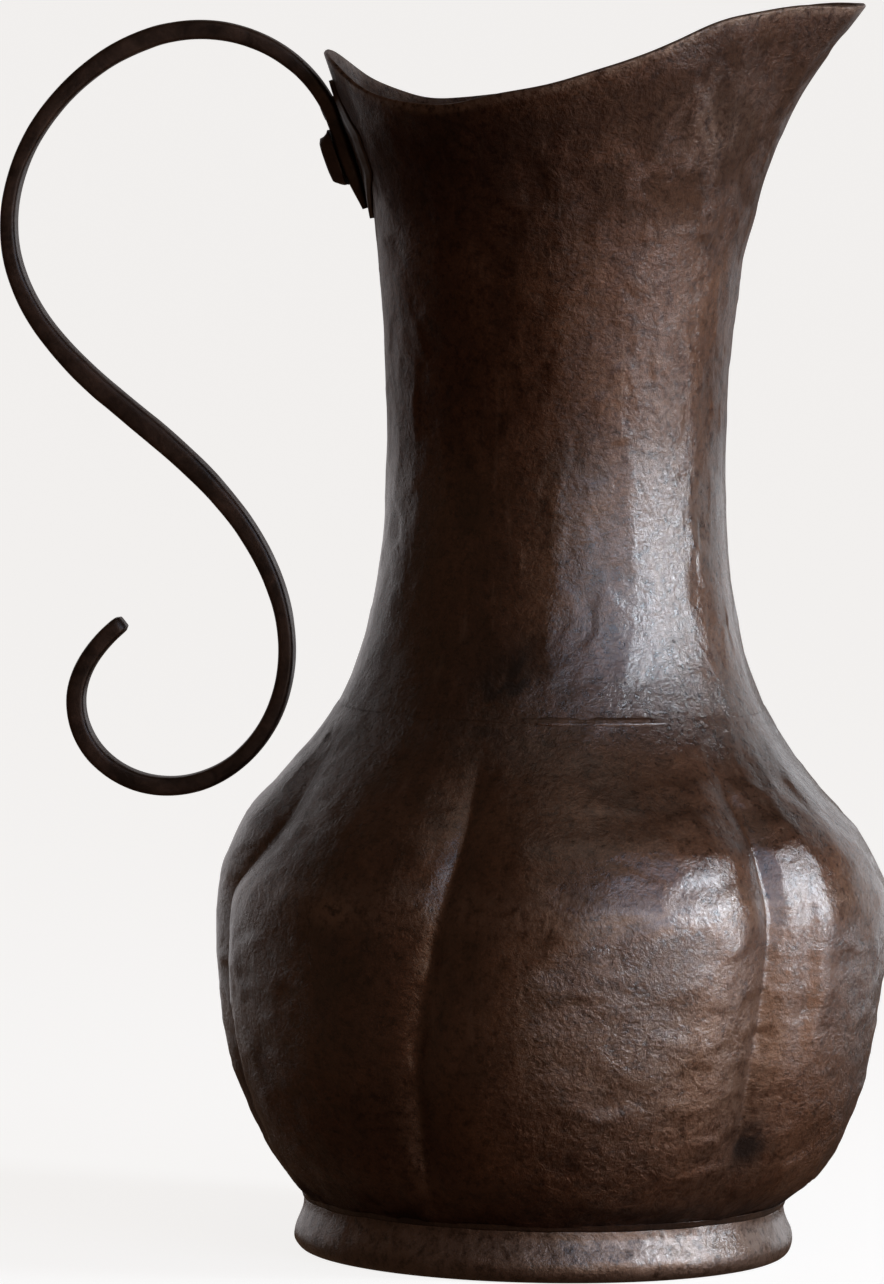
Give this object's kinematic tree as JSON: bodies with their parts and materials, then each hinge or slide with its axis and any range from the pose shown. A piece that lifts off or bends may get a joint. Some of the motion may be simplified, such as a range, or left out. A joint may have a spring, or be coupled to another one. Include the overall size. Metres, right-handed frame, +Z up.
{
  "type": "copper water jug",
  "caption": "Hammered copper jug: lobed belly on a foot ring, tall waisted neck with a flared rim and pulled spout, riveted iron scroll handle.",
  "frame": {"origin": "middle of the outline's bounding box, on the surface that the jug stands on; the vessel's own axis is 26.6 mm from it along +X", "axes": "+X towards the spout, with the handle on -X; +Z up; the handle and the spout lie in the XZ plane"},
  "size_m": [0.2162, 0.1613, 0.3001],
  "materials": {
    "copper_patina": "dark brown waxed patina over hammered copper",
    "copper_worn": "brown patina, rubbed at the edge",
    "copper_wire": "drawn copper wire",
    "brass_braze": "darkened braze",
    "soft_solder": "dull blackened solder",
    "forged_iron": "oiled black-brown forge scale",
    "rivet_iron": "hammered, black-brown"
  },
  "bodies": {
    "root": {"belly_shell": "copper_patina", "neck_shell": "copper_patina", "neck_braze_seam": "brass_braze", "foot_band": "copper_worn", "foot_wire": "copper_wire", "foot_solder": "soft_solder", "handle_bar": "forged_iron", "handle_leaf": "forged_iron", "handle_rivet_square": "rivet_iron", "handle_rivet_flush": "rivet_iron", "rivet_washer_square": "rivet_iron", "rivet_washer_flush": "rivet_iron"}
  },
  "joints": []
}
